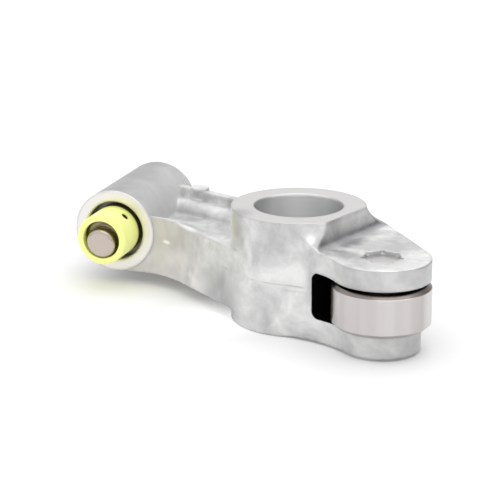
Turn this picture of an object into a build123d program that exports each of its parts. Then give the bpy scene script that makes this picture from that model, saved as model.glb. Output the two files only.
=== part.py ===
from build123d import *
import math
import os

os.makedirs("parts", exist_ok=True)

# Shaft boss. Its bore axis is Z and its lower machined face lies at Z 0.
shaft_bore_d = 20.0
boss_r = 15.1
boss_h = 25.7

# Fork with the cam roller. Angles are in degrees from +X, seen from above.
roller_reach = 27.5
roller_angle = -33.7
roller_d = 21.4
roller_w = 9.3
roller_chamfer = 0.8
roller_gap = 0.15
roller_room = 0.9
lower_ear_z = 0.4
lower_ear_t = 5.1
slot_w = 10.4
upper_ear_t = 4.5
lower_ear_r = 8.6
upper_ear_r = 10.5
lower_waist_r = 27.0
upper_waist_r = 17.0
wing_reach = 17.6
wing_angle = 28.8
wing_r = 2.5
slot_floor_gap = 1.2
slot_corner_r = 1.7

# Step that drops from the boss face to the top of the upper ear.
rim_h = 0.4
flare_w = 5.0
flare_hollow = 0.7
step_angle = -18.7
step_top_reach = 12.7
step_lean = 0.6
step_foot_lean = 0.2
step_fillet = 1.8

# Roller pin with its ring of stake marks, and the needles on it.
pin_d = 8.0
pin_recess = 0.9
stake_count = 7
stake_r = 0.5
stake_depth = 0.5
needle_d = 2.48
needle_count = 12
needle_sides = 10
needle_end_gap = 0.35
race_clearance = 0.03

# Arm between the two bosses, a ribbed beam with a pocket on each side.
arm_low = 3.0
pocket_low = 6.2
pocket_floor = 13.9
front_rib_top = 17.0
back_rib_top = 18.6
rib_w = 2.3
front_wall_angle = 230.3
front_wall_run = 26.0
back_wall_angle = 66.2
back_wall_reach = 15.4
pocket_skirt = 3.5
ridge_reach = 11.2
ridge_r = 3.0
ridge_crest = 16.7
pad_r = 2.3
pad_top = 19.3
gallery_d = 3.0
gallery_z = 10.0

# Adjuster boss, a blind cylinder along Y. Lengths below are Y positions.
adjuster_x = -48.2
adjuster_z = 12.85
boss_face_y = 9.2
boss_end_y = 40.6
adjuster_boss_r = 9.75
boss_end_chamfer = 1.5
adjuster_bore_d = 14.1
bore_end_y = 36.0
mouth_chamfer = 0.4

# Hydraulic adjuster inside that bore.
slide_clearance = 0.04
travel = 2.5
ball_r = 3.0
ball_y = 6.0
ball_flat = 30.0
ball_span = 62.0
neck_r = 5.25
neck_y = 9.0
shoulder_y = 12.4
housing_end_gap = 0.9
cavity_r = 4.75
cavity_y = 13.2
plunger_clearance = 0.03
plunger_face_y = 20.5
plunger_shoulder_y = 29.3
plunger_neck_r = 3.9
reservoir_r = 2.8
reservoir_y = 23.0
seat_r = 1.1
feed_r = 0.8
disc_t = 1.6
disc_hole_r = 1.2
ring_w = 1.0
ring_in_r = 4.1
ring_seat_depth = 0.4
check_ball_r = 1.5
check_gap = 0.03
cage_flange_r = 4.4
cage_t = 0.4
cage_r = 2.2
cage_end_y = 16.0
plunger_spring_wire = 0.8
plunger_spring_r = 3.7
plunger_spring_turns = 3
check_spring_wire = 0.3
check_spring_r = 1.1
check_spring_turns = 3
coil_sides = 10
coil_seat = 0.06

# Swivel foot on the ball, and the plastic ring that keeps it there.
foot_tip_y = 0.3
foot_nose_r = 3.5
foot_chamfer = 0.5
foot_flange_r = 4.7
foot_flange_y = 3.5
foot_back_y = 5.9
foot_droop = 9.5
socket_clearance = 0.05
socket_angle = 45.0
retainer_r = 6.0
retainer_face_y = 1.15
retainer_lip = 1.3
retainer_hole_r = 4.5
retainer_round = 0.4
vent_d = 1.9
vent_y = 6.8
vent_angle = 50.0


def polar(radius, degrees, centre=(0.0, 0.0)):
    angle = math.radians(degrees)
    return (centre[0] + radius * math.cos(angle), centre[1] + radius * math.sin(angle))


def heading(start, end):
    return math.degrees(math.atan2(end[1] - start[1], end[0] - start[0]))


def upright_plane(degrees):
    along = polar(1, degrees)
    return Plane(origin=(0, 0, 0), x_dir=(along[0], along[1], 0), z_dir=(along[1], -along[0], 0))


def belt_normal(centre_1, r_1, centre_2, r_2):
    lean = math.acos((r_1 - r_2) / math.dist(centre_1, centre_2))
    return (heading(centre_1, centre_2) - math.degrees(lean)) % 360


slot_z = lower_ear_z + lower_ear_t
upper_ear_z = slot_z + slot_w
ear_top = upper_ear_z + upper_ear_t
slot_mid = slot_z + slot_w / 2
roller_centre = polar(roller_reach, roller_angle)
slot_floor = roller_reach - roller_d / 2 - slot_floor_gap
wing_centre = polar(wing_reach, wing_angle)
pin_r = pin_d / 2
adjuster_bore_r = adjuster_bore_d / 2
shaft_bore_r = shaft_bore_d / 2
adjuster_plane = Plane(origin=(adjuster_x, 0, adjuster_z))
adjuster_axis = Axis((adjuster_x, 0, adjuster_z), (0, 1, 0))

front_tangent = polar(boss_r, front_wall_angle)
front_end = polar(front_wall_run, front_wall_angle - 90, front_tangent)
front_root = (adjuster_x + adjuster_boss_r - 1, boss_face_y + 0.8)
back_tangent = polar(back_wall_reach, back_wall_angle)
back_run = (back_tangent[0] - adjuster_x) / math.sin(math.radians(back_wall_angle))
back_end = polar(back_run, back_wall_angle + 90, back_tangent)
pocket_front = polar(boss_r - rib_w, front_wall_angle)
pocket_front_end = polar(front_wall_run + 4, front_wall_angle - 90, pocket_front)
pocket_back = polar(back_wall_reach - rib_w, back_wall_angle)
pocket_back_end = polar(back_run, back_wall_angle + 90, pocket_back)
pad_centre = polar(back_run - adjuster_boss_r - 2.4 * pad_r, back_wall_angle + 90, back_tangent)
pad_centre = (pad_centre[0], pad_centre[1] - rib_w / 2)

pocket_outline = [
    pocket_front,
    pocket_front_end,
    (adjuster_x, pocket_front_end[1] + rib_w),
    (adjuster_x, pocket_back_end[1]),
    pocket_back,
    (0, 0),
]

# Hollow of each arm pocket. A round skirt is left where the upper one meets the shaft boss.
with BuildPart() as upper_pocket:
    with BuildSketch(Plane.XY.offset(pocket_floor)):
        Polygon(*pocket_outline, align=None)
    extrude(amount=boss_h)
    with BuildSketch(Plane.XZ):
        with BuildLine():
            skirt_foot = (boss_r + pocket_skirt, pocket_floor)
            skirt_top = (boss_r, pocket_floor + pocket_skirt)
            RadiusArc(skirt_top, skirt_foot, pocket_skirt)
            Polyline(skirt_foot, (0, pocket_floor), (0, skirt_top[1]), skirt_top)
        make_face()
    revolve(axis=Axis.Z, mode=Mode.SUBTRACT)

with BuildPart() as lower_pocket:
    with BuildSketch(Plane.XY.offset(arm_low - 1)):
        Polygon(*pocket_outline, align=None)
    extrude(amount=pocket_low - arm_low + 1)

with BuildPart() as rocker_body:
    # Fork, with a hollow waist in front and a straight wing behind.
    for base, height, ear_r, waist_r in (
        (lower_ear_z, slot_mid - lower_ear_z, lower_ear_r, lower_waist_r),
        (slot_mid, boss_h - slot_mid, upper_ear_r, upper_waist_r),
    ):
        to_boss = boss_r + waist_r
        to_ear = ear_r + waist_r
        along = (to_boss**2 - to_ear**2 + roller_reach**2) / (2 * roller_reach)
        waist_angle = roller_angle - math.degrees(math.acos(along / to_boss))
        waist_centre = polar(to_boss, waist_angle)
        ear_angle = heading(roller_centre, waist_centre)
        wing_side = belt_normal(roller_centre, ear_r, wing_centre, wing_r)
        wing_back = belt_normal(wing_centre, wing_r, (0, 0), boss_r)
        waist_middle = (waist_angle + ear_angle) / 2 + 180
        with BuildSketch(Plane.XY.offset(base)):
            with BuildLine():
                ThreePointArc(
                    polar(boss_r, waist_angle),
                    polar(waist_r, waist_middle, waist_centre),
                    polar(ear_r, ear_angle, roller_centre),
                )
                ThreePointArc(
                    polar(ear_r, ear_angle, roller_centre),
                    polar(ear_r, (ear_angle + wing_side) / 2, roller_centre),
                    polar(ear_r, wing_side, roller_centre),
                )
                Line(polar(ear_r, wing_side, roller_centre), polar(wing_r, wing_side, wing_centre))
                ThreePointArc(
                    polar(wing_r, wing_side, wing_centre),
                    polar(wing_r, (wing_side + wing_back) / 2, wing_centre),
                    polar(wing_r, wing_back, wing_centre),
                )
                Line(polar(wing_r, wing_back, wing_centre), polar(boss_r, wing_back))
                Line(polar(boss_r, wing_back), polar(boss_r, waist_angle))
            make_face()
        extrude(amount=height)

    # Hollow flare from the boss down to the top of the upper ear.
    flare_top = (boss_r, boss_h - rim_h)
    flare_foot = (boss_r + flare_w, ear_top)
    with BuildSketch(Plane.XZ):
        with BuildLine():
            SagittaArc(flare_top, flare_foot, -flare_hollow)
            Polyline(
                flare_foot,
                (3 * boss_r, ear_top),
                (3 * boss_r, boss_h + 1),
                (boss_r, boss_h + 1),
                flare_top,
            )
        make_face()
    revolve(axis=Axis.Z, mode=Mode.SUBTRACT)

    # Beam of the arm, pocketed from above and below.
    with BuildSketch(Plane.XY.offset(arm_low)):
        with BuildLine():
            front_wall = Line(front_tangent, front_end)
            TangentArc(front_end, front_root, tangent=front_wall % 1)
            Polyline(
                front_root,
                (adjuster_x, front_root[1]),
                back_end,
                back_tangent,
                (0, 0),
                front_tangent,
            )
        make_face()
    extrude(amount=back_rib_top - arm_low)
    add(upper_pocket.part, mode=Mode.SUBTRACT)
    add(lower_pocket.part, mode=Mode.SUBTRACT)

    # The front rib stands lower than the back one.
    with BuildSketch(Plane.XY.offset(front_rib_top)):
        with BuildLine():
            rib_corner = polar(1.4 * boss_r, front_wall_angle)
            Polyline(
                rib_corner,
                polar(1.6 * front_wall_run, front_wall_angle - 90, rib_corner),
                (adjuster_x, boss_face_y + adjuster_boss_r),
                (0, 0),
                close=True,
            )
        make_face()
    extrude(amount=boss_h, mode=Mode.SUBTRACT)

    # Rounded ridge beside the back rib, and the ejector pad on that rib.
    ridge_start = polar(ridge_reach, back_wall_angle)
    ridge_way = polar(1, back_wall_angle + 90)
    with BuildSketch(
        Plane(
            origin=(ridge_start[0], ridge_start[1], ridge_crest - ridge_r),
            z_dir=(ridge_way[0], ridge_way[1], 0),
        )
    ):
        Circle(ridge_r)
    extrude(amount=back_run - adjuster_boss_r / 2)
    with BuildSketch(Plane.XY.offset(pocket_low)):
        with Locations(pad_centre):
            Circle(pad_r)
    extrude(amount=pad_top - pocket_low)

    # Adjuster boss with its blind end.
    with BuildSketch(adjuster_plane):
        with BuildLine():
            Polyline(
                (0, boss_face_y),
                (adjuster_boss_r, boss_face_y),
                (adjuster_boss_r, boss_end_y - boss_end_chamfer),
                (adjuster_boss_r - boss_end_chamfer, boss_end_y),
                (0, boss_end_y),
                close=True,
            )
        make_face()
    revolve(axis=adjuster_axis)

    # Shaft boss.
    with BuildSketch(Plane.XY):
        Circle(boss_r)
    extrude(amount=boss_h)

    # Flat step between the boss face and the upper ear.
    with BuildSketch(upright_plane(step_angle)) as step:
        with BuildLine():
            Polyline(
                (step_top_reach + step_lean + step_foot_lean, ear_top),
                (step_top_reach + step_lean, (ear_top + boss_h) / 2),
                (step_top_reach, boss_h),
                (step_top_reach, boss_h + 1),
                (3 * boss_r, boss_h + 1),
                (3 * boss_r, ear_top),
                close=True,
            )
        make_face()
        fillet(step.vertices().group_by(Axis.Y)[0].sort_by(Axis.X)[0], step_fillet)
    extrude(amount=2 * boss_r, both=True, mode=Mode.SUBTRACT)

    # Roller slot with rounded inner corners. A web behind the roller joins the ears.
    slot_back = roller_d / 2 + roller_room
    with BuildSketch(upright_plane(roller_angle).offset(-slot_back)) as slot:
        with Locations((slot_floor + roller_reach, slot_mid)):
            Rectangle(2 * roller_reach, slot_w)
        fillet(slot.vertices().group_by(Axis.X)[0], slot_corner_r)
    extrude(amount=slot_back + 2 * boss_r, mode=Mode.SUBTRACT)

    # Shaft bore, pin hole, stake marks, adjuster bore and oil gallery.
    with BuildSketch(Plane.XY):
        Circle(shaft_bore_r)
        with Locations(roller_centre):
            Circle(pin_r)
    extrude(amount=boss_h, mode=Mode.SUBTRACT)
    with BuildSketch(Plane.XY.offset(ear_top)):
        with Locations(roller_centre):
            with PolarLocations(pin_r + stake_r / 3, stake_count):
                Circle(stake_r)
    extrude(amount=-stake_depth, mode=Mode.SUBTRACT)
    with BuildSketch(adjuster_plane):
        with BuildLine():
            Polyline(
                (0, boss_face_y),
                (adjuster_bore_r + mouth_chamfer, boss_face_y),
                (adjuster_bore_r, boss_face_y + mouth_chamfer),
                (adjuster_bore_r, bore_end_y),
                (0, bore_end_y),
                close=True,
            )
        make_face()
    revolve(axis=adjuster_axis, mode=Mode.SUBTRACT)
    gallery_end = (adjuster_x, bore_end_y - disc_t - gallery_d / 2)
    with BuildSketch(
        Plane(
            origin=(gallery_end[0], gallery_end[1], gallery_z),
            z_dir=(-gallery_end[0], -gallery_end[1], 0),
        )
    ):
        Circle(gallery_d / 2)
    extrude(amount=math.hypot(*gallery_end), mode=Mode.SUBTRACT)

rocker_body.part.label = "rocker_body"
export_step(rocker_body.part, "parts/rocker_body.step")

roller_z = slot_z + roller_gap
race_r = pin_r + needle_d + 2 * race_clearance
with BuildPart() as roller:
    with BuildSketch(Plane.XY.offset(roller_z)):
        with Locations(roller_centre):
            Circle(roller_d / 2)
            Circle(race_r, mode=Mode.SUBTRACT)
    extrude(amount=roller_w)
    outer_rims = roller.edges().filter_by(GeomType.CIRCLE).sort_by(SortBy.RADIUS)[-2:]
    chamfer(outer_rims, roller_chamfer)

roller.part.label = "roller"
export_step(roller.part, "parts/roller.step")

with BuildPart() as roller_pin:
    with BuildSketch(Plane.XY.offset(lower_ear_z + pin_recess)):
        with Locations(roller_centre):
            Circle(pin_r)
    extrude(amount=ear_top - lower_ear_z - 2 * pin_recess)

roller_pin.part.label = "roller_pin"
export_step(roller_pin.part, "parts/roller_pin.step")

with BuildPart() as needle_rollers:
    with BuildSketch(Plane.XY.offset(roller_z + needle_end_gap)):
        with Locations(roller_centre):
            with PolarLocations(pin_r + race_clearance + needle_d / 2, needle_count):
                RegularPolygon(needle_d / 2, needle_sides)
    extrude(amount=roller_w - 2 * needle_end_gap)

needle_rollers.part.label = "needle_rollers"
export_step(needle_rollers.part, "parts/needle_rollers.step")

housing_r = adjuster_bore_r - slide_clearance
plunger_end_y = bore_end_y - disc_t
housing_end_y = plunger_end_y - travel - housing_end_gap
dome_flat = polar(ball_r, ball_flat - 90, (0, ball_y))
dome_edge = polar(ball_r, ball_span - 90, (0, ball_y))
ring_y = plunger_shoulder_y + check_gap
ring_seat_r = cavity_r + ring_seat_depth
with BuildPart() as adjuster_housing:
    with BuildSketch(adjuster_plane):
        with BuildLine():
            Line((0, dome_flat[1]), dome_flat)
            ThreePointArc(
                dome_flat,
                polar(ball_r, (ball_flat + ball_span) / 2 - 90, (0, ball_y)),
                dome_edge,
            )
            Polyline(
                dome_edge,
                (dome_edge[0], neck_y),
                (neck_r, neck_y),
                (neck_r, shoulder_y),
                (housing_r, shoulder_y),
                (housing_r, housing_end_y),
                (cavity_r, housing_end_y),
                (cavity_r, ring_y + ring_w),
                (ring_seat_r, ring_y + ring_w),
                (ring_seat_r, ring_y),
                (cavity_r, ring_y),
                (cavity_r, cavity_y),
                (0, cavity_y),
                (0, dome_flat[1]),
            )
        make_face()
    revolve(axis=adjuster_axis)

adjuster_housing.part.label = "adjuster_housing"
export_step(adjuster_housing.part, "parts/adjuster_housing.step")

with BuildPart() as retaining_ring:
    with BuildSketch(adjuster_plane):
        with Locations(((ring_in_r + ring_seat_r) / 2, ring_y + ring_w / 2)):
            Rectangle(ring_seat_r - ring_in_r, ring_w)
    revolve(axis=adjuster_axis)

retaining_ring.part.label = "retaining_ring"
export_step(retaining_ring.part, "parts/retaining_ring.step")

plunger_r = cavity_r - plunger_clearance
feed_y = plunger_end_y - 2 * feed_r
with BuildPart() as adjuster_plunger:
    with BuildSketch(adjuster_plane):
        with BuildLine():
            Polyline(
                (seat_r, plunger_face_y),
                (plunger_r, plunger_face_y),
                (plunger_r, plunger_shoulder_y),
                (plunger_neck_r, plunger_shoulder_y),
                (plunger_neck_r, plunger_end_y),
                (reservoir_r, plunger_end_y),
                (reservoir_r, reservoir_y),
                (seat_r, reservoir_y),
                close=True,
            )
        make_face()
    revolve(axis=adjuster_axis)
    with BuildSketch(Plane.YZ.offset(adjuster_x)):
        with Locations((feed_y, adjuster_z)):
            Circle(feed_r)
    extrude(amount=plunger_r, mode=Mode.SUBTRACT)

adjuster_plunger.part.label = "adjuster_plunger"
export_step(adjuster_plunger.part, "parts/adjuster_plunger.step")

with BuildPart() as support_disc:
    with BuildSketch(adjuster_plane):
        with Locations(((disc_hole_r + housing_r) / 2, bore_end_y - disc_t / 2)):
            Rectangle(housing_r - disc_hole_r, disc_t)
    revolve(axis=adjuster_axis)

support_disc.part.label = "support_disc"
export_step(support_disc.part, "parts/support_disc.step")

check_ball_y = plunger_face_y - math.sqrt(check_ball_r**2 - seat_r**2) - check_gap
with BuildPart() as check_ball:
    with Locations((adjuster_x, check_ball_y, adjuster_z)):
        Sphere(check_ball_r)

check_ball.part.label = "check_ball"
export_step(check_ball.part, "parts/check_ball.step")

with BuildPart() as check_cage:
    with BuildSketch(adjuster_plane):
        with BuildLine():
            Polyline(
                (seat_r / 2, cage_end_y),
                (cage_r, cage_end_y),
                (cage_r, plunger_face_y - cage_t),
                (cage_flange_r, plunger_face_y - cage_t),
                (cage_flange_r, plunger_face_y),
                (cage_r - cage_t, plunger_face_y),
                (cage_r - cage_t, cage_end_y + cage_t),
                (seat_r / 2, cage_end_y + cage_t),
                close=True,
            )
        make_face()
    revolve(axis=adjuster_axis)

check_cage.part.label = "check_cage"
export_step(check_cage.part, "parts/check_cage.step")


def coil_points(radius, start, run, turns):
    steps = turns * coil_sides
    return [
        (
            adjuster_x + radius * math.cos(2 * math.pi * i / coil_sides),
            start + run * i / steps,
            adjuster_z + radius * math.sin(2 * math.pi * i / coil_sides),
        )
        for i in range(steps + 1)
    ]


spring_start = cavity_y + plunger_spring_wire / 2 + coil_seat
spring_run = plunger_face_y - cage_t - cavity_y - plunger_spring_wire - 2 * coil_seat
with BuildPart() as plunger_spring:
    with BuildLine():
        coil = Polyline(
            *coil_points(plunger_spring_r, spring_start, spring_run, plunger_spring_turns)
        )
    with BuildSketch(Plane(origin=coil @ 0, x_dir=(0, 1, 0), z_dir=coil % 0)):
        Rectangle(plunger_spring_wire, plunger_spring_wire)
    sweep(transition=Transition.RIGHT)

plunger_spring.part.label = "plunger_spring"
export_step(plunger_spring.part, "parts/plunger_spring.step")

check_start = cage_end_y + cage_t + check_spring_wire / 2 + coil_seat
seat_drop = math.sqrt(check_ball_r**2 - (check_spring_r - check_spring_wire) ** 2)
check_run = check_ball_y - seat_drop - check_spring_wire / 2 - coil_seat - check_start
with BuildPart() as check_spring:
    with BuildLine():
        small_coil = Polyline(
            *coil_points(check_spring_r, check_start, check_run, check_spring_turns)
        )
    with BuildSketch(Plane(origin=small_coil @ 0, x_dir=(0, 1, 0), z_dir=small_coil % 0)):
        Rectangle(check_spring_wire, check_spring_wire)
    sweep(transition=Transition.RIGHT)

check_spring.part.label = "check_spring"
export_step(check_spring.part, "parts/check_spring.step")

droop = math.radians(foot_droop)
foot_plane = Plane(
    origin=(adjuster_x, ball_y, adjuster_z),
    x_dir=(1, 0, 0),
    z_dir=(0, -math.sin(droop), math.cos(droop)),
)
foot_axis = Axis((adjuster_x, ball_y, adjuster_z), (0, math.cos(droop), math.sin(droop)))
foot_tip = foot_tip_y - ball_y
foot_step = foot_flange_y - ball_y
foot_back = foot_back_y - ball_y
socket_r = ball_r + socket_clearance
socket_apex = -socket_r / math.sin(math.radians(socket_angle))
mouth_r = ball_r - socket_clearance
mouth_y = socket_apex + mouth_r / math.tan(math.radians(socket_angle))
with BuildPart() as swivel_foot:
    with BuildSketch(foot_plane):
        with BuildLine():
            Polyline(
                (0, foot_tip),
                (foot_nose_r - foot_chamfer, foot_tip),
                (foot_nose_r, foot_tip + foot_chamfer),
                (foot_nose_r, foot_step),
                (foot_flange_r, foot_step),
                (foot_flange_r, foot_back),
                (mouth_r, foot_back),
                (mouth_r, mouth_y),
                (0, socket_apex),
                close=True,
            )
        make_face()
    revolve(axis=foot_axis)

swivel_foot.part.label = "swivel_foot"
export_step(swivel_foot.part, "parts/swivel_foot.step")

with BuildPart() as foot_retainer:
    with BuildSketch(adjuster_plane):
        with BuildLine():
            Polyline(
                (retainer_hole_r, retainer_face_y),
                (retainer_r - retainer_round, retainer_face_y),
                (retainer_r, retainer_face_y + retainer_round),
                (retainer_r, shoulder_y),
                (neck_r, shoulder_y),
                (neck_r, retainer_face_y + retainer_lip),
                (retainer_hole_r, retainer_face_y + retainer_lip),
                close=True,
            )
        make_face()
    revolve(axis=adjuster_axis)
    vent_way = polar(1, vent_angle)
    with BuildSketch(
        Plane(origin=(adjuster_x, vent_y, adjuster_z), z_dir=(vent_way[0], 0, vent_way[1]))
    ):
        Circle(vent_d / 2)
    extrude(amount=2 * retainer_r, mode=Mode.SUBTRACT)

foot_retainer.part.label = "foot_retainer"
export_step(foot_retainer.part, "parts/foot_retainer.step")
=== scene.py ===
import bpy
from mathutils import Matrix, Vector


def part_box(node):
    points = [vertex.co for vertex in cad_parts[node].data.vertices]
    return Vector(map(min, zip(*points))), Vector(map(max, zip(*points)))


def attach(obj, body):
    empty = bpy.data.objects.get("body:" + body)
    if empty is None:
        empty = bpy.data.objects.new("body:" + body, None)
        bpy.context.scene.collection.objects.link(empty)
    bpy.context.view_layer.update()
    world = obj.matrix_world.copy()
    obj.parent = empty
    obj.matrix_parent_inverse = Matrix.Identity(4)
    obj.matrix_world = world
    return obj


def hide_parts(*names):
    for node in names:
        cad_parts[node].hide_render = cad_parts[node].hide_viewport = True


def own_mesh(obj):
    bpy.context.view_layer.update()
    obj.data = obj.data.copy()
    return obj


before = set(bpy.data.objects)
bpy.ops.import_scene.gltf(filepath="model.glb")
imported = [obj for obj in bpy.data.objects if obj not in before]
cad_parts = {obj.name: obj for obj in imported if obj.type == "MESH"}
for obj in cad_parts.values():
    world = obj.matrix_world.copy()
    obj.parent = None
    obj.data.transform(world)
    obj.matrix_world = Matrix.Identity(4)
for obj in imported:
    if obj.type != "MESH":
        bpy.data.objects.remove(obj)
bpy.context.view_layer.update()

# Rocker body: one aluminium die casting, tumbled to a cloudy grey skin once its flash was broken off.
# The rims of the shaft boss, the shaft bore and the mouth of the adjuster boss are then machined, so
# they show even and bright, while the cast skin shows soft clouds with painted shade and light in places.


def linear(hex_colour):
    """sRGB hex to the linear RGBA that shader sockets take."""
    parts = [int(hex_colour[i : i + 2], 16) / 255 for i in (1, 3, 5)]
    return [p / 12.92 if p <= 0.04045 else ((p + 0.055) / 1.055) ** 2.4 for p in parts] + [1.0]


def add_node(tree, kind, inputs=None, **settings):
    """One shader node. Each input is a value or another node's output socket."""
    made = tree.nodes.new(kind)
    for name, value in settings.items():
        setattr(made, name, value)
    for name, value in (inputs or {}).items():
        if isinstance(value, bpy.types.NodeSocket):
            tree.links.new(value, made.inputs[name])
        else:
            made.inputs[name].default_value = value
    return made


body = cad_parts["rocker_body"]
face_margin = 0.00005
wall_margin = 0.0001
cloud_size = 0.009
mottle_size = 0.0022
mottle_share = 0.3
edge_round = 0.001
uneven_depth = 0.0002

cast = bpy.data.materials.new("die_cast_aluminium_tumbled")
cast.use_nodes = True
tree = cast.node_tree
skin = tree.nodes["Principled BSDF"]
skin.inputs["Metallic"].default_value = 1.0
coords = add_node(tree, "ShaderNodeTexCoord")
place = coords.outputs["Object"]
axes = add_node(tree, "ShaderNodeSeparateXYZ", {"Vector": place})
lengthwise = axes.outputs["X"]
high = axes.outputs["Z"]
clouds = add_node(
    tree,
    "ShaderNodeTexNoise",
    {"Vector": place, "Scale": 1 / cloud_size, "Detail": 4.0, "Roughness": 0.5, "Distortion": 0.6},
)
mottle = add_node(
    tree,
    "ShaderNodeTexNoise",
    {"Vector": place, "Scale": 1 / mottle_size, "Detail": 4.0, "Roughness": 0.6},
)
cloud_mix = add_node(
    tree,
    "ShaderNodeMix",
    {0: mottle_share, 2: clouds.outputs["Fac"], 3: mottle.outputs["Fac"]},
    data_type="FLOAT",
)
cast_tone = add_node(tree, "ShaderNodeValToRGB", {"Fac": cloud_mix.outputs[0]})
cast_tone.color_ramp.elements[0].position = 0.36
cast_tone.color_ramp.elements[0].color = linear("#c4c4c4")
cast_tone.color_ramp.elements[1].position = 0.62
cast_tone.color_ramp.elements[1].color = linear("#efefee")

# Painted shade on the adjuster boss: its cast clouds are mostly replaced by an even tone that is painted
# darker over its top and left and paler towards its right side.
adjuster_centre = (-0.0482, 0.0, 0.01285)
adjuster_boss_r = 0.00975
boss_shade_share = 0.8
boss_shaded_x, boss_lit_x = -0.048, -0.040
boss_shaded_value, boss_lit_value = 0.47, 0.71
off_axis = add_node(tree, "ShaderNodeVectorMath", {0: place, 1: adjuster_centre}, operation="SUBTRACT")
boss_cross = add_node(
    tree, "ShaderNodeVectorMath", {0: off_axis.outputs[0], 1: (1.0, 0.0, 1.0)}, operation="MULTIPLY"
)
boss_radius = add_node(tree, "ShaderNodeVectorMath", {0: boss_cross.outputs[0]}, operation="LENGTH")
on_boss = add_node(
    tree,
    "ShaderNodeMath",
    {0: boss_radius.outputs["Value"], 1: adjuster_boss_r + wall_margin},
    operation="LESS_THAN",
)
boss_shade_part = add_node(tree, "ShaderNodeMath", {0: on_boss.outputs[0], 1: boss_shade_share}, operation="MULTIPLY")
boss_shading = add_node(
    tree,
    "ShaderNodeMapRange",
    {
        "Value": lengthwise,
        "From Min": boss_shaded_x,
        "From Max": boss_lit_x,
        "To Min": boss_shaded_value,
        "To Max": boss_lit_value,
    },
)
boss_shaded_in = add_node(
    tree,
    "ShaderNodeMix",
    {0: boss_shade_part.outputs[0], 6: cast_tone.outputs["Color"], 7: boss_shading.outputs["Result"]},
    data_type="RGBA",
)

# Painted light: the front of the arm is painted paler towards the adjuster, in a faint pinkish grey that
# offsets the yellow light bounced from the retainer.
arm_front = (-0.63877, -0.76940, 0.0)
arm_front_reach = 0.0145
brightest_front_x, unlit_front_x = -0.036, -0.020
front_light_share = 0.6
front_reach = add_node(tree, "ShaderNodeVectorMath", {0: place, 1: arm_front}, operation="DOT_PRODUCT")
on_front = add_node(
    tree,
    "ShaderNodeMath",
    {0: front_reach.outputs["Value"], 1: arm_front_reach},
    operation="GREATER_THAN",
)
front_only = add_node(
    tree,
    "ShaderNodeMath",
    {0: on_front.outputs[0], 1: on_boss.outputs[0]},
    operation="SUBTRACT",
    use_clamp=True,
)
front_light_fade = add_node(
    tree,
    "ShaderNodeMapRange",
    {
        "Value": lengthwise,
        "From Min": brightest_front_x,
        "From Max": unlit_front_x,
        "To Min": front_light_share,
        "To Max": 0.0,
    },
)
front_light_part = add_node(
    tree,
    "ShaderNodeMath",
    {0: front_only.outputs[0], 1: front_light_fade.outputs["Result"]},
    operation="MULTIPLY",
)
lit_front = add_node(
    tree,
    "ShaderNodeMix",
    {0: front_light_part.outputs[0], 6: boss_shaded_in.outputs[2], 7: linear("#ebe7e9")},
    data_type="RGBA",
)

# The die's parting line shows as a faint broken seam, right of the arm, with one bright scar where
# flash was broken off.
parting_z = 0.0119
seam_core, seam_edge = 0.0001, 0.0003
seam_strength = 0.3
seam_start_x = -0.016
flash_scar = (-0.0346, 0.0082, 0.0116)
flash_size = (0.0016, 0.0016, 0.0006)
scar_strength = 0.9
seam_off = add_node(tree, "ShaderNodeMath", {0: high, 1: parting_z}, operation="SUBTRACT")
seam_away = add_node(tree, "ShaderNodeMath", {0: seam_off.outputs[0]}, operation="ABSOLUTE")
seam = add_node(
    tree,
    "ShaderNodeMapRange",
    {
        "Value": seam_away.outputs[0],
        "From Min": seam_core,
        "From Max": seam_edge,
        "To Min": 1.0,
        "To Max": 0.0,
    },
)
seam_broken = add_node(
    tree,
    "ShaderNodeMapRange",
    {
        "Value": clouds.outputs["Fac"],
        "From Min": 0.52,
        "From Max": 0.6,
        "To Min": 0.0,
        "To Max": seam_strength,
    },
)
seam_right = add_node(tree, "ShaderNodeMath", {0: lengthwise, 1: seam_start_x}, operation="GREATER_THAN")
seam_here = add_node(
    tree, "ShaderNodeMath", {0: seam.outputs["Result"], 1: seam_right.outputs[0]}, operation="MULTIPLY"
)
seam_part = add_node(
    tree,
    "ShaderNodeMath",
    {0: seam_here.outputs[0], 1: seam_broken.outputs["Result"]},
    operation="MULTIPLY",
)
seamed = add_node(
    tree,
    "ShaderNodeMix",
    {0: seam_part.outputs[0], 6: lit_front.outputs[2], 7: linear("#6e6e6e")},
    data_type="RGBA",
)
scar_place = add_node(
    tree,
    "ShaderNodeMapping",
    {"Vector": place, "Location": flash_scar, "Scale": flash_size},
    vector_type="TEXTURE",
)
scar_away = add_node(tree, "ShaderNodeVectorMath", {0: scar_place.outputs[0]}, operation="LENGTH")
scar = add_node(
    tree,
    "ShaderNodeMapRange",
    {
        "Value": scar_away.outputs["Value"],
        "From Min": 0.4,
        "From Max": 1.0,
        "To Min": scar_strength,
        "To Max": 0.0,
    },
)
scarred = add_node(
    tree,
    "ShaderNodeMix",
    {0: scar.outputs["Result"], 6: seamed.outputs[2], 7: linear("#ffffff")},
    data_type="RGBA",
)

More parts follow.
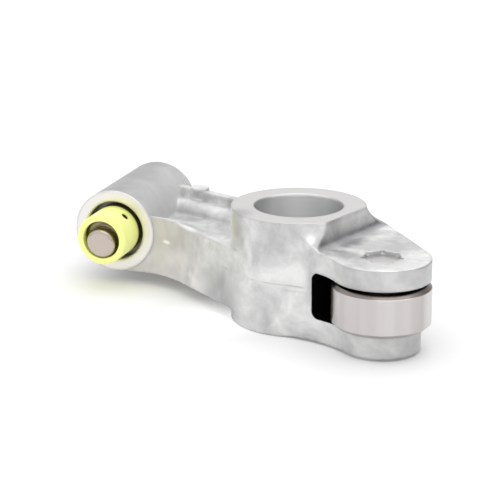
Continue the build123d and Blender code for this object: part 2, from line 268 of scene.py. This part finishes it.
# Machined where the skin was cut away: the two rims, the adjuster's end face and the bore wall. Their
# tones
# hold painted light and shade: the rims are painted darker, the end face paler, and the bore wall darker
# towards its two sides.
boss_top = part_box("rocker_body")[1][2]
boss_face_y = 0.0092
mouth_depth = 0.0004
shaft_bore_r = 0.010
bore_sides = (0.96, 0.28, 0.0)
bore_even_reach = 0.006
bore_lit_value, bore_shaded_value = 0.97, 0.6
flat_xy = add_node(tree, "ShaderNodeCombineXYZ", {"X": lengthwise, "Y": axes.outputs["Y"]})
axis_distance = add_node(tree, "ShaderNodeVectorMath", {0: flat_xy.outputs[0]}, operation="LENGTH")
top_rim = add_node(tree, "ShaderNodeMath", {0: high, 1: boss_top - face_margin}, operation="GREATER_THAN")
low_rim = add_node(tree, "ShaderNodeMath", {0: high, 1: face_margin}, operation="LESS_THAN")
mouth = add_node(
    tree, "ShaderNodeMath", {0: axes.outputs["Y"], 1: boss_face_y + mouth_depth}, operation="LESS_THAN"
)
end_face = add_node(
    tree, "ShaderNodeMath", {0: mouth.outputs[0], 1: on_boss.outputs[0]}, operation="MULTIPLY"
)
rims = add_node(
    tree, "ShaderNodeMath", {0: top_rim.outputs[0], 1: low_rim.outputs[0]}, operation="MAXIMUM"
)
faces = add_node(
    tree, "ShaderNodeMath", {0: rims.outputs[0], 1: end_face.outputs[0]}, operation="MAXIMUM"
)
bore_wall = add_node(
    tree,
    "ShaderNodeMath",
    {0: axis_distance.outputs["Value"], 1: shaft_bore_r + wall_margin},
    operation="LESS_THAN",
)
rims_shaded = add_node(
    tree,
    "ShaderNodeMix",
    {0: rims.outputs[0], 6: scarred.outputs[2], 7: linear("#d6d5d4")},
    data_type="RGBA",
)
end_face_lit = add_node(
    tree,
    "ShaderNodeMix",
    {0: end_face.outputs[0], 6: rims_shaded.outputs[2], 7: linear("#f3f0f0")},
    data_type="RGBA",
)
bore_across = add_node(tree, "ShaderNodeVectorMath", {0: place, 1: bore_sides}, operation="DOT_PRODUCT")
bore_off = add_node(tree, "ShaderNodeMath", {0: bore_across.outputs["Value"]}, operation="ABSOLUTE")
bore_shading = add_node(
    tree,
    "ShaderNodeMapRange",
    {
        "Value": bore_off.outputs[0],
        "From Min": bore_even_reach,
        "From Max": shaft_bore_r,
        "To Min": bore_lit_value,
        "To Max": bore_shaded_value,
    },
)
bore_shaded_in = add_node(
    tree,
    "ShaderNodeMix",
    {0: bore_wall.outputs[0], 6: end_face_lit.outputs[2], 7: bore_shading.outputs["Result"]},
    data_type="RGBA",
)

# The cast skin shines unevenly. The adjuster boss and the front of the arm are the dullest, and the
# machined faces are alike all over.
smooth_skin, coarse_skin = 0.42, 0.6
machined_rough = 0.5
dullest_x, undulled_x = -0.032, -0.012
dull_extra = 0.28
cast_rough = add_node(
    tree,
    "ShaderNodeMapRange",
    {
        "Value": mottle.outputs["Fac"],
        "From Min": 0.3,
        "From Max": 0.7,
        "To Min": smooth_skin,
        "To Max": coarse_skin,
    },
)
dull = add_node(
    tree,
    "ShaderNodeMapRange",
    {
        "Value": lengthwise,
        "From Min": dullest_x,
        "From Max": undulled_x,
        "To Min": dull_extra,
        "To Max": 0.0,
    },
)
dull_here = add_node(
    tree, "ShaderNodeMath", {0: on_front.outputs[0], 1: on_boss.outputs[0]}, operation="MAXIMUM"
)
arm_rough = add_node(
    tree,
    "ShaderNodeMath",
    {0: dull.outputs["Result"], 1: dull_here.outputs[0], 2: cast_rough.outputs["Result"]},
    operation="MULTIPLY_ADD",
)
face_rough = add_node(
    tree,
    "ShaderNodeMix",
    {0: faces.outputs[0], 2: arm_rough.outputs[0], 3: machined_rough},
    data_type="FLOAT",
)
bore_rough = add_node(
    tree,
    "ShaderNodeMix",
    {0: bore_wall.outputs[0], 2: face_rough.outputs[0], 3: machined_rough},
    data_type="FLOAT",
)

# Painted shade lies in the corner where the step meets the upper ear. It also lies in spots: two on
# the ear, one low on the arm and one on the boss's edge above the arm.
ear_top = 0.0204
step_way = (0.94721, -0.32061, 0.0)
step_side = (0.32061, 0.94721, 0.0)
step_turn = -0.3264
corner_strength = 0.6
spot_rim, spot_core = 1.05, 0.2
shade_spots = (
    ((0.01356, -0.00670, 0.0206), (0.0036, 0.0060, 0.0012), 0.75),
    ((0.01558, -0.01636, 0.0204), (0.0050, 0.0040, 0.0015), 0.55),
    ((-0.016, -0.0062, 0.0055), (0.0120, 0.0120, 0.0100), 0.5),
    ((-0.0112, -0.0101, 0.0235), (0.0050, 0.0050, 0.0080), 0.45),
)
step_reach = add_node(tree, "ShaderNodeVectorMath", {0: place, 1: step_way}, operation="DOT_PRODUCT")
step_across = add_node(tree, "ShaderNodeVectorMath", {0: place, 1: step_side}, operation="DOT_PRODUCT")
reach = step_reach.outputs["Value"]
breadth = step_across.outputs["Value"]
on_ear = add_node(tree, "ShaderNodeMath", {0: high, 1: ear_top - face_margin}, operation="GREATER_THAN")
painted_shade = on_ear.outputs[0]
shade_fades = (
    (high, 0.0248, 0.0212),
    (reach, 0.0154, 0.0142),
    (reach, 0.0120, 0.0126),
    (breadth, -0.0131, -0.0125),
)
for value, unshaded_at, shaded_at in shade_fades:
    fade = add_node(
        tree,
        "ShaderNodeMapRange",
        {"Value": value, "From Min": unshaded_at, "From Max": shaded_at},
        interpolation_type="SMOOTHSTEP",
    )
    corner = add_node(tree, "ShaderNodeMath", {0: painted_shade, 1: fade.outputs["Result"]}, operation="MULTIPLY")
    painted_shade = corner.outputs[0]
painted_shade = add_node(tree, "ShaderNodeMath", {0: painted_shade, 1: corner_strength}, operation="MULTIPLY").outputs[0]
for centre, size, strength in shade_spots:
    spot = add_node(
        tree,
        "ShaderNodeMapping",
        {"Vector": place, "Location": centre, "Rotation": (0, 0, step_turn), "Scale": size},
        vector_type="TEXTURE",
    )
    away = add_node(tree, "ShaderNodeVectorMath", {0: spot.outputs[0]}, operation="LENGTH")
    fade = add_node(
        tree,
        "ShaderNodeMapRange",
        {"Value": away.outputs["Value"], "From Min": spot_rim, "From Max": spot_core, "To Max": strength},
        interpolation_type="SMOOTHSTEP",
    )
    darker = add_node(tree, "ShaderNodeMath", {0: painted_shade, 1: fade.outputs["Result"]}, operation="MAXIMUM")
    painted_shade = darker.outputs[0]
shade_applied = add_node(
    tree, "ShaderNodeMix", {0: painted_shade, 6: bore_shaded_in.outputs[2], 7: linear("#8e8e92")}, data_type="RGBA"
)

# Painted highlights: the top of the arm's front rib and the edge of the flare are painted brighter.
arm_turn = -0.693
highlight_spots = (
    ((-0.0276, 0.0033, 0.0170), (0.0060, 0.0014, 0.0008), 0.8),
    ((0.0070, -0.0150, 0.0217), (0.0016, 0.0016, 0.0030), 0.6),
)
highlighted = shade_applied.outputs[2]
for centre, size, strength in highlight_spots:
    spot = add_node(
        tree,
        "ShaderNodeMapping",
        {"Vector": place, "Location": centre, "Rotation": (0, 0, arm_turn), "Scale": size},
        vector_type="TEXTURE",
    )
    away = add_node(tree, "ShaderNodeVectorMath", {0: spot.outputs[0]}, operation="LENGTH")
    fade = add_node(
        tree,
        "ShaderNodeMapRange",
        {"Value": away.outputs["Value"], "From Min": spot_rim, "From Max": spot_core, "To Max": strength},
        interpolation_type="SMOOTHSTEP",
    )
    highlight_mix = add_node(
        tree,
        "ShaderNodeMix",
        {0: fade.outputs["Result"], 6: highlighted, 7: linear("#ffffff")},
        data_type="RGBA",
    )
    highlighted = highlight_mix.outputs[2]

# Painted shade: the upright walls of the fork are painted darker than its top.
fork_start, fork_full = 0.014, 0.024
wall_shade_share = 0.28
normal_axes = add_node(tree, "ShaderNodeSeparateXYZ", {"Vector": coords.outputs["Normal"]})
upright = add_node(
    tree, "ShaderNodeMapRange", {"Value": normal_axes.outputs["Z"], "From Min": 0.6, "From Max": 0.1}
)
fork_part = add_node(
    tree,
    "ShaderNodeMapRange",
    {"Value": reach, "From Min": fork_start, "From Max": fork_full, "To Max": wall_shade_share},
)
wall_shade_part = add_node(
    tree,
    "ShaderNodeMath",
    {0: upright.outputs["Result"], 1: fork_part.outputs["Result"]},
    operation="MULTIPLY",
)
walls_shaded = add_node(
    tree,
    "ShaderNodeMix",
    {0: wall_shade_part.outputs[0], 6: highlighted, 7: linear("#8f8f8f")},
    data_type="RGBA",
)

# Painted shade: the walls of the roller slot are painted near-black, where shade falls in the recess.
slot_low, slot_high, slot_floor, slot_back = 0.0055, 0.0159, 0.0156, 0.0116
slot_margin = 0.00002
fork_way = (0.83195, -0.55484, 0.0)
fork_back = (0.55484, 0.83195, 0.0)
along = add_node(tree, "ShaderNodeVectorMath", {0: place, 1: fork_way}, operation="DOT_PRODUCT")
across = add_node(tree, "ShaderNodeVectorMath", {0: place, 1: fork_back}, operation="DOT_PRODUCT")
facing = add_node(
    tree, "ShaderNodeVectorMath", {0: coords.outputs["Normal"], 1: fork_back}, operation="DOT_PRODUCT"
)
limits = (
    (along.outputs["Value"], slot_floor - face_margin, "GREATER_THAN"),
    (across.outputs["Value"], slot_back + face_margin, "LESS_THAN"),
    (facing.outputs["Value"], -0.5, "GREATER_THAN"),
    (high, slot_low - slot_margin, "GREATER_THAN"),
    (high, slot_high + slot_margin, "LESS_THAN"),
)
in_slot = None
for value, limit, side in limits:
    test = add_node(tree, "ShaderNodeMath", {0: value, 1: limit}, operation=side).outputs[0]
    if in_slot is not None:
        test = add_node(tree, "ShaderNodeMath", {0: in_slot, 1: test}, operation="MULTIPLY").outputs[0]
    in_slot = test
slot_shaded = add_node(
    tree, "ShaderNodeMix", {0: in_slot, 6: walls_shaded.outputs[2], 7: linear("#161514")}, data_type="RGBA"
)

# Tumbling has rounded the edges a little, and the skin is faintly wavy.
rounded = add_node(tree, "ShaderNodeBevel", {"Radius": edge_round}, samples=6)
uneven = add_node(
    tree,
    "ShaderNodeBump",
    {
        "Strength": 0.15,
        "Distance": uneven_depth,
        "Height": cloud_mix.outputs[0],
        "Normal": rounded.outputs["Normal"],
    },
)
tree.links.new(slot_shaded.outputs[2], skin.inputs["Base Color"])
tree.links.new(bore_rough.outputs[0], skin.inputs["Roughness"])
tree.links.new(uneven.outputs["Normal"], skin.inputs["Normal"])
body.data.materials.clear()
body.data.materials.append(cast)

# Roller, needles and check ball: hardened bearing steel, ground to a satin finish and left oiled, so
# they show soft streaks along the axis. The roller runs on the needles and the needles on the pin; the
# roller's upper shoulder is painted a dark brown-grey as painted shade and reflection of the dark slot
# above it.
streak_size = 0.007
streak_stretch = 0.02
shoulder_h = 0.0007
ground = bpy.data.materials.new("bearing_steel_ground")
ground.use_nodes = True
tree = ground.node_tree
skin = tree.nodes["Principled BSDF"]
skin.inputs["Metallic"].default_value = 1.0
place = add_node(tree, "ShaderNodeTexCoord").outputs["Object"]
drawn_out = add_node(
    tree, "ShaderNodeVectorMath", {0: place, 1: (1.0, 1.0, streak_stretch)}, operation="MULTIPLY"
)
streaks = add_node(
    tree,
    "ShaderNodeTexNoise",
    {"Vector": drawn_out.outputs[0], "Scale": 1 / streak_size, "Detail": 3.0, "Roughness": 0.6},
)
steel_tone = add_node(tree, "ShaderNodeValToRGB", {"Fac": streaks.outputs["Fac"]})
steel_tone.color_ramp.elements[0].position = 0.35
steel_tone.color_ramp.elements[0].color = linear("#bdb8b7")
steel_tone.color_ramp.elements[1].position = 0.65
steel_tone.color_ramp.elements[1].color = linear("#cfcbca")
roller_high = add_node(tree, "ShaderNodeSeparateXYZ", {"Vector": place})
shoulder = add_node(
    tree,
    "ShaderNodeMath",
    {0: roller_high.outputs["Z"], 1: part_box("roller")[1][2] - shoulder_h},
    operation="GREATER_THAN",
)
shoulder_shaded = add_node(
    tree,
    "ShaderNodeMix",
    {0: shoulder.outputs[0], 6: steel_tone.outputs["Color"], 7: linear("#908782")},
    data_type="RGBA",
)
tree.links.new(shoulder_shaded.outputs[2], skin.inputs["Base Color"])
skin.inputs["Roughness"].default_value = 0.26
for name in ("roller", "needle_rollers", "check_ball"):
    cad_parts[name].data.materials.clear()
    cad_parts[name].data.materials.append(ground)

# Roller pin: hardened steel rod, pressed through both ears and staked. Its ends are left as cut, so
# they look flat and dull.
pin_steel = bpy.data.materials.new("hardened_steel_dull")
pin_steel.use_nodes = True
skin = pin_steel.node_tree.nodes["Principled BSDF"]
skin.inputs["Metallic"].default_value = 1.0
skin.inputs["Base Color"].default_value = linear("#d2d0cf")
skin.inputs["Roughness"].default_value = 0.42
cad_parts["roller_pin"].data.materials.clear()
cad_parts["roller_pin"].data.materials.append(pin_steel)

# Adjuster housing, plunger, cage, ring and disc: turned or pressed steel, hardened, deep in the
# adjuster bore. Heat and oil have left them dark with a wet shine.
dark_steel = bpy.data.materials.new("hardened_steel_oiled")
dark_steel.use_nodes = True
skin = dark_steel.node_tree.nodes["Principled BSDF"]
skin.inputs["Metallic"].default_value = 1.0
skin.inputs["Base Color"].default_value = linear("#6f6c68")
skin.inputs["Roughness"].default_value = 0.35
for name in (
    "adjuster_housing",
    "adjuster_plunger",
    "check_cage",
    "retaining_ring",
    "support_disc",
):
    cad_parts[name].data.materials.clear()
    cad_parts[name].data.materials.append(dark_steel)

# Plunger spring and check spring: coiled wire of the same oiled steel. Each is copied, hung on the
# arm's body and its CAD part hidden. The joint it would follow, the end it would be held at (far for the
# plunger spring, near for the check spring) and the closed share of its length are listed but not used.
for name, joint, fixed_end, closed in (
    ("plunger_spring", "adjuster_slide", 1, 0.632),
    ("check_spring", "check_lift", 0, 0.85),
):
    coil = bpy.data.objects.new(name + "_coil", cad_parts[name].data.copy())
    bpy.context.collection.objects.link(coil)
    coil.data.materials.clear()
    coil.data.materials.append(dark_steel)
    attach(coil, "arm")
    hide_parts(name)
    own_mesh(coil)

# Swivel foot: hardened steel with a flat ground face and softly worn edges, loose on the housing's
# ball. The satin face is pale and warm; its flange, inside the ring, is painted dark as painted shade.
ball_centre = (-0.0482, 0.006, 0.01285)
foot_droop = 0.1658
foot_nose_r = 0.0035
foot_edge_round = 0.0008
foot_steel = bpy.data.materials.new("hardened_steel_satin")
foot_steel.use_nodes = True
tree = foot_steel.node_tree
skin = tree.nodes["Principled BSDF"]
skin.inputs["Metallic"].default_value = 1.0
place = add_node(tree, "ShaderNodeTexCoord").outputs["Object"]
foot_place = add_node(
    tree,
    "ShaderNodeMapping",
    {"Vector": place, "Location": ball_centre, "Rotation": (foot_droop, 0, 0)},
    vector_type="TEXTURE",
)
foot_cross = add_node(
    tree, "ShaderNodeVectorMath", {0: foot_place.outputs[0], 1: (1.0, 0.0, 1.0)}, operation="MULTIPLY"
)
foot_radius = add_node(tree, "ShaderNodeVectorMath", {0: foot_cross.outputs[0]}, operation="LENGTH")
flange = add_node(
    tree,
    "ShaderNodeMath",
    {0: foot_radius.outputs["Value"], 1: foot_nose_r + wall_margin},
    operation="GREATER_THAN",
)
foot_face_and_shade = add_node(
    tree,
    "ShaderNodeMix",
    {0: flange.outputs[0], 6: linear("#c3b7ae"), 7: linear("#8a8068")},
    data_type="RGBA",
)
worn_edge = add_node(tree, "ShaderNodeBevel", {"Radius": foot_edge_round}, samples=6)
tree.links.new(foot_face_and_shade.outputs[2], skin.inputs["Base Color"])
tree.links.new(worn_edge.outputs["Normal"], skin.inputs["Normal"])
skin.inputs["Roughness"].default_value = 0.16
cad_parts["swivel_foot"].data.materials.clear()
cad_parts["swivel_foot"].data.materials.append(foot_steel)

# Foot retainer: injection-moulded ring of nylon in a signal yellow, pressed on the housing's
# neck. The dye is fluorescent, and its glow is painted as a little light of its own; its inside
# and its root are painted dark olive-brown as painted shade, with no glow there.
retainer_centre = (-0.0482, 0.0, 0.01285)
retainer_r = 0.006
retainer_wall = 0.0003
retainer_face_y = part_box("foot_retainer")[0][1]
lip_depth = 0.0035
root_start, root_full = 0.0082, 0.0088
painted_glow = 0.07
nylon = bpy.data.materials.new("nylon_moulded_yellow_painted_glow")
nylon.use_nodes = True
tree = nylon.node_tree
skin = tree.nodes["Principled BSDF"]
place = add_node(tree, "ShaderNodeTexCoord").outputs["Object"]
depth = add_node(tree, "ShaderNodeSeparateXYZ", {"Vector": place}).outputs["Y"]
off_axis = add_node(tree, "ShaderNodeVectorMath", {0: place, 1: retainer_centre}, operation="SUBTRACT")
ring_cross = add_node(
    tree, "ShaderNodeVectorMath", {0: off_axis.outputs[0], 1: (1.0, 0.0, 1.0)}, operation="MULTIPLY"
)
ring_radius = add_node(tree, "ShaderNodeVectorMath", {0: ring_cross.outputs[0]}, operation="LENGTH")
narrow = add_node(
    tree,
    "ShaderNodeMath",
    {0: ring_radius.outputs["Value"], 1: retainer_r - retainer_wall},
    operation="LESS_THAN",
)
past_lip = add_node(
    tree, "ShaderNodeMath", {0: depth, 1: retainer_face_y + lip_depth}, operation="GREATER_THAN"
)
in_hollow = add_node(
    tree, "ShaderNodeMath", {0: narrow.outputs[0], 1: past_lip.outputs[0]}, operation="MULTIPLY"
)
root = add_node(
    tree,
    "ShaderNodeMapRange",
    {"Value": depth, "From Min": retainer_face_y + root_start, "From Max": retainer_face_y + root_full},
)
hollow_shade = add_node(
    tree, "ShaderNodeMath", {0: in_hollow.outputs[0], 1: root.outputs["Result"]}, operation="MAXIMUM"
)
yellow_with_shade = add_node(
    tree,
    "ShaderNodeMix",
    {0: hollow_shade.outputs[0], 6: linear("#fbfea0"), 7: linear("#4a4426")},
    data_type="RGBA",
)
glow_fade = add_node(
    tree, "ShaderNodeMapRange", {"Value": hollow_shade.outputs[0], "To Min": painted_glow, "To Max": 0.0}
)
tree.links.new(yellow_with_shade.outputs[2], skin.inputs["Base Color"])
tree.links.new(glow_fade.outputs["Result"], skin.inputs["Emission Strength"])
skin.inputs["Emission Color"].default_value = linear("#f4ff70")
skin.inputs["Roughness"].default_value = 0.38
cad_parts["foot_retainer"].data.materials.clear()
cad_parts["foot_retainer"].data.materials.append(nylon)

# Floor: a plain white paper sweep that the part lies on. It keeps the shadow and shows white, and the
# far paper is lifted so that it stays white at low views.
floor_size = 6.0
floor_z = -0.00005
far_start, far_full = 0.2, 0.9
far_glow = 0.4
bpy.ops.mesh.primitive_plane_add(size=floor_size, location=(0, 0, floor_z))
floor = bpy.context.object
floor.name = "studio_floor"
paper = bpy.data.materials.new("white_paper_sweep")
paper.use_nodes = True
tree = paper.node_tree
skin = tree.nodes["Principled BSDF"]
skin.inputs["Base Color"].default_value = linear("#f2f2f2")
skin.inputs["Roughness"].default_value = 0.9
ray = add_node(tree, "ShaderNodeLightPath")
seen = add_node(
    tree,
    "ShaderNodeMath",
    {0: ray.outputs["Is Camera Ray"], 1: ray.outputs["Is Glossy Ray"]},
    operation="MAXIMUM",
)
seen_all = add_node(
    tree,
    "ShaderNodeMath",
    {0: seen.outputs[0], 1: ray.outputs["Is Transmission Ray"]},
    operation="MAXIMUM",
)
sweep_place = add_node(tree, "ShaderNodeTexCoord").outputs["Object"]
sweep_away = add_node(tree, "ShaderNodeVectorMath", {0: sweep_place}, operation="LENGTH")
far_lift = add_node(
    tree,
    "ShaderNodeMapRange",
    {
        "Value": sweep_away.outputs["Value"],
        "From Min": far_start,
        "From Max": far_full,
        "To Max": far_glow,
    },
)
far_seen = add_node(
    tree,
    "ShaderNodeMath",
    {0: far_lift.outputs["Result"], 1: ray.outputs["Is Camera Ray"]},
    operation="MULTIPLY",
)

# Painted light in the floor: its glow lightens the shadow a little all over, and more in front of the
# boss, where no card or lamp stands.
painted_light_centre = (-0.015, -0.006, 0.0)
painted_light_reach = 0.017
even_glow, painted_light_peak = 0.08, 0.45
painted_light_place = add_node(
    tree,
    "ShaderNodeMapping",
    {"Vector": sweep_place, "Location": painted_light_centre, "Scale": (painted_light_reach, painted_light_reach, painted_light_reach)},
    vector_type="TEXTURE",
)
painted_light_away = add_node(tree, "ShaderNodeVectorMath", {0: painted_light_place.outputs[0]}, operation="LENGTH")
near_lift = add_node(
    tree,
    "ShaderNodeMapRange",
    {
        "Value": painted_light_away.outputs["Value"],
        "From Min": 1.0,
        "From Max": 0.0,
        "To Min": even_glow,
        "To Max": painted_light_peak,
    },
    interpolation_type="SMOOTHSTEP",
)
lift = add_node(
    tree,
    "ShaderNodeMath",
    {0: seen_all.outputs[0], 1: near_lift.outputs["Result"], 2: far_seen.outputs[0]},
    operation="MULTIPLY_ADD",
)
tree.links.new(lift.outputs[0], skin.inputs["Emission Strength"])
skin.inputs["Emission Color"].default_value = linear("#ffffff")
floor.data.materials.append(paper)

# Studio: an even white room, greyer near the ground, with a dark flag low on the far right and one
# broad soft box overhead.
flag_way = (0.83, 0.54, -0.05)
world = bpy.data.worlds.new("studio_room")
bpy.context.scene.world = world
world.use_nodes = True
tree = world.node_tree
room = tree.nodes["Background"]
way = add_node(tree, "ShaderNodeTexCoord").outputs["Generated"]
height = add_node(tree, "ShaderNodeSeparateXYZ", {"Vector": way})
sky = add_node(tree, "ShaderNodeValToRGB", {"Fac": height.outputs["Z"]})
sky.color_ramp.elements[0].position = 0.0
sky.color_ramp.elements[0].color = linear("#b4b4b4")
sky.color_ramp.elements[1].position = 0.25
sky.color_ramp.elements[1].color = linear("#ffffff")
flag = add_node(tree, "ShaderNodeVectorMath", {0: way, 1: flag_way}, operation="DOT_PRODUCT")
flag_tone = add_node(tree, "ShaderNodeValToRGB", {"Fac": flag.outputs["Value"]})
flag_tone.color_ramp.elements[0].position = 0.68
flag_tone.color_ramp.elements[0].color = linear("#ffffff")
flag_tone.color_ramp.elements[1].position = 0.88
flag_tone.color_ramp.elements[1].color = linear("#505050")
walls = add_node(
    tree,
    "ShaderNodeMix",
    {0: 1.0, 6: sky.outputs["Color"], 7: flag_tone.outputs["Color"]},
    data_type="RGBA",
    blend_type="MULTIPLY",
)
tree.links.new(walls.outputs[2], room.inputs["Color"])
room.inputs["Strength"].default_value = 0.99

box_light = bpy.data.lights.new("soft_box", "AREA")
box_light.size = 0.9
box_light.energy = 2.4
lamp = bpy.data.objects.new("soft_box", box_light)
bpy.context.collection.objects.link(lamp)
lamp.location = (0.1, 0.1, 0.85)
lamp.rotation_euler = (Vector((0, 0, 0)) - lamp.location).to_track_quat("-Z", "Y").to_euler()

# Camera: stands where the photograph was taken from, with a long lens. The lens is given in pixels of
# the photograph, as it was fitted to the bore, boss, roller and adjuster.
eye = Vector((0.10197, -0.34885, 0.12624))
aim = Vector((-0.01029, -0.00334, 0.01531))
lens_px = 1700
frame_px = 500
lens = bpy.data.cameras.new("photo_camera")
lens.sensor_width = 36.0
lens.lens = lens_px / frame_px * lens.sensor_width
lens.clip_start = 0.01
camera = bpy.data.objects.new("photo_camera", lens)
bpy.context.collection.objects.link(camera)
camera.location = eye
camera.rotation_euler = (aim - eye).to_track_quat("-Z", "Y").to_euler()
bpy.context.scene.camera = camera
bpy.context.scene.view_settings.view_transform = "Standard"
